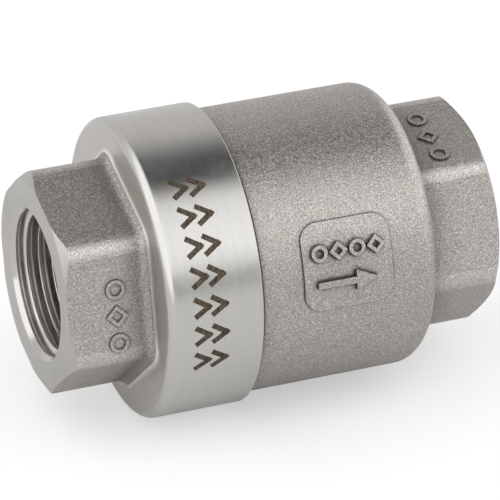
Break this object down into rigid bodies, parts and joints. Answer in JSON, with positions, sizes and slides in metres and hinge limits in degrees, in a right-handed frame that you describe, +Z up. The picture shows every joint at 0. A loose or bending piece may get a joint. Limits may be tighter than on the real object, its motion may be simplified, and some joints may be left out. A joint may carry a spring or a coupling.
{
  "type": "in-line spring check valve",
  "caption": "In-line spring check valve with female-threaded hexagonal ends, a polished collar and a plain cast barrel.",
  "frame": {"origin": "on the flow axis, halfway between the two end faces", "axes": "+X along the flow axis from inlet to outlet, +Z up, with the valve lying on its collar"},
  "size_m": [0.0622, 0.0414, 0.0414],
  "materials": {
    "cast_stainless_cap": "blast-finished hexagon with a turned and brushed collar",
    "cast_stainless_body": "blast-finished investment casting",
    "turned_stainless": "turned",
    "machined_stainless": "machined",
    "stainless_sheet": "smooth",
    "stainless_screw": "smooth",
    "spring_steel": "drawn wire",
    "ptfe": "waxy white",
    "fluoroelastomer": "matt black"
  },
  "bodies": {
    "housing": {"inlet_cap": "cast_stainless_cap", "valve_body": "cast_stainless_body", "body_gasket": "ptfe", "guide_spider": "machined_stainless", "guide_bush": "ptfe", "snap_ring": "spring_steel", "return_spring": "spring_steel"},
    "poppet_group": {"poppet": "turned_stainless", "seal_ring": "fluoroelastomer", "retainer_washer": "stainless_sheet", "retainer_screw": "stainless_screw"}
  },
  "joints": [
    {"name": "poppet_slide", "type": "slide", "parent": "housing", "child": "poppet_group", "axis": [1, 0, 0], "range_m": [0, 0.004], "stiffness_N_per_m": 300, "springref_m": -0.003, "deforming": ["return_spring"]}
  ]
}
